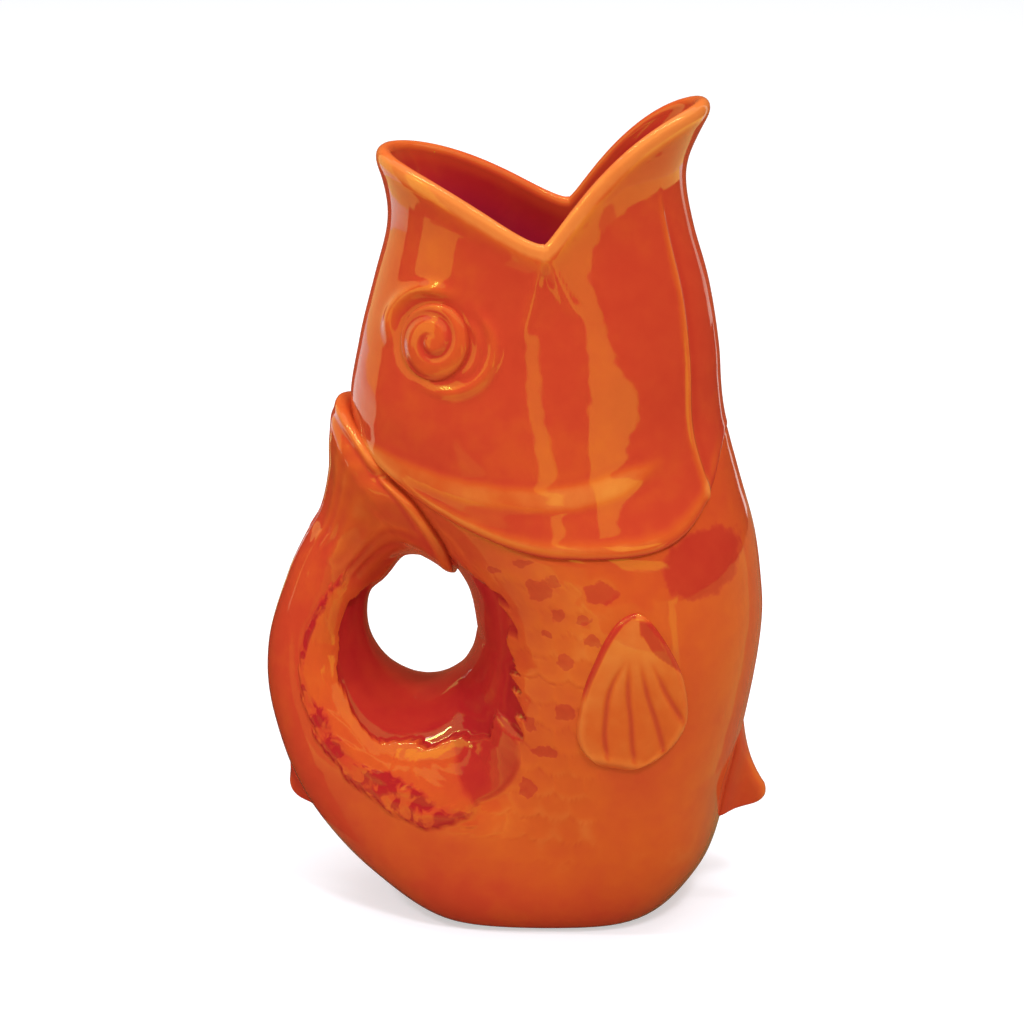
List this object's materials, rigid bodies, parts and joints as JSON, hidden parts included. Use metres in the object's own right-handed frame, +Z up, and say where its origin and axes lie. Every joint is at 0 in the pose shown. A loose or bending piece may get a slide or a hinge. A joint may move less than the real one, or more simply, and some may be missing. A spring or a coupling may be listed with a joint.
{
  "type": "fish pitcher",
  "caption": "Glazed ceramic pitcher shaped as an upright fish: open mouth as spout, curled hollow tail as handle, finned sides and a flat foot.",
  "frame": {"origin": "on the table under the middle of the jug's box", "axes": "+Z up from the foot to the spout, +X from the tail handle to the belly and spout, +Y across the fish to its left side"},
  "size_m": [0.1588, 0.1116, 0.2558],
  "materials": {
    "body_glaze": "gloss",
    "fin_glaze": "gloss",
    "eye_glaze": "gloss"
  },
  "bodies": {
    "root": {"body_shell": "body_glaze", "tail_handle": "body_glaze", "tail_fin": "fin_glaze", "pelvic_fin": "fin_glaze", "anal_fin": "fin_glaze", "pectoral_fin_right": "fin_glaze", "pectoral_fin_left": "fin_glaze", "eye_right": "eye_glaze", "eye_left": "eye_glaze"}
  },
  "joints": []
}
